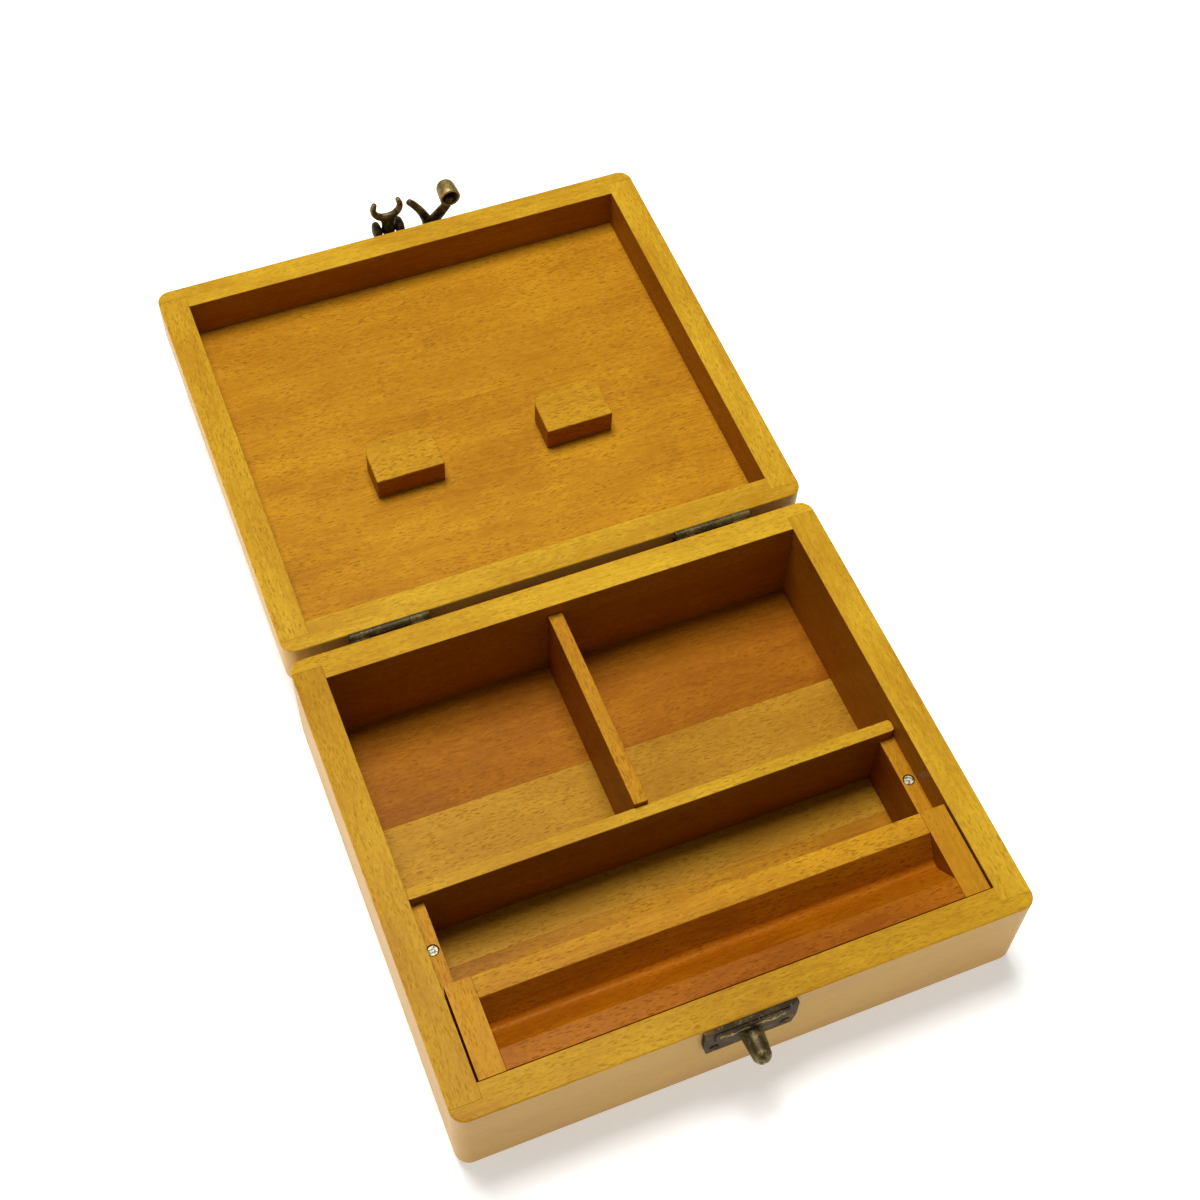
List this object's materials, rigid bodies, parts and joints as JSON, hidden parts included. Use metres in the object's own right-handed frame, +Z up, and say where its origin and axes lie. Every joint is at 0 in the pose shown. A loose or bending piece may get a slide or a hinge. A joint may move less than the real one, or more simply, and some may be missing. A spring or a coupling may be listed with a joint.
{
  "type": "sewing box with trays",
  "caption": "Small hinged wooden box, opened flat, with dividers and a sliding needle tray on rails, and an antique metal fork-and-peg latch with a swinging cup arm.",
  "frame": {"origin": "centre of the base's underside", "axes": "+X to the right seen from the catch side, +Y from the catch towards the hinges, +Z up"},
  "size_m": [0.165, 0.3128, 0.0519],
  "materials": {
    "beech": "satin lacquer",
    "warm_beech": "satin lacquer",
    "light_beech": "satin lacquer",
    "antique_brass": "antique, worn on the edges",
    "magnet": "nickel plated"
  },
  "bodies": {
    "base": {"base_board_back": "warm_beech", "base_board_front": "warm_beech", "base_board_middle": "light_beech", "base_wall_back": "beech", "base_wall_front": "beech", "base_wall_left": "beech", "base_wall_right": "beech", "catch_peg": "antique_brass", "catch_plate": "antique_brass", "catch_screws": "antique_brass", "hinge_base_leaf_left": "antique_brass", "hinge_base_leaf_right": "antique_brass", "hinge_base_screws": "antique_brass", "hinge_pins": "antique_brass", "long_divider": "warm_beech", "rail_magnets_back": "magnet", "rail_magnets_front": "magnet", "short_divider": "warm_beech", "tray_rail_left": "warm_beech", "tray_rail_right": "warm_beech"},
    "lid": {"arm_rivet": "antique_brass", "fork_pin": "antique_brass", "hinge_lid_leaf_left": "antique_brass", "hinge_lid_leaf_right": "antique_brass", "hinge_lid_screws": "antique_brass", "latch_plate": "antique_brass", "latch_screws": "antique_brass", "lid_block_left": "warm_beech", "lid_block_right": "warm_beech", "lid_board_back": "warm_beech", "lid_board_front": "warm_beech", "lid_wall_back": "beech", "lid_wall_front": "beech", "lid_wall_left": "beech", "lid_wall_right": "beech"},
    "tray": {"tray_end_left": "warm_beech", "tray_end_right": "warm_beech", "tray_magnets": "magnet", "tray_trough": "warm_beech"},
    "fork": {"latch_fork": "antique_brass"},
    "arm": {"latch_arm": "antique_brass", "latch_cup": "antique_brass"}
  },
  "joints": [
    {"name": "lid_hinge", "type": "hinge", "parent": "base", "child": "lid", "pos_m": [0, 0.0735, 0.03665], "axis": [1, 0, 0], "range_deg": [0, 178]},
    {"name": "tray_slide", "type": "slide", "parent": "base", "child": "tray", "axis": [0, 1, 0], "range_m": [0, 0.028]},
    {"name": "fork_hinge", "type": "hinge", "parent": "lid", "child": "fork", "pos_m": [-0.002, 0.22353, 0.03854], "axis": [-1, 0, 0], "range_deg": [0, 110]},
    {"name": "arm_swing", "type": "hinge", "parent": "lid", "child": "arm", "pos_m": [0.0125, 0.22252, 0.0357], "axis": [0, 0.9994, 0.0349], "range_deg": [0, 60]}
  ]
}
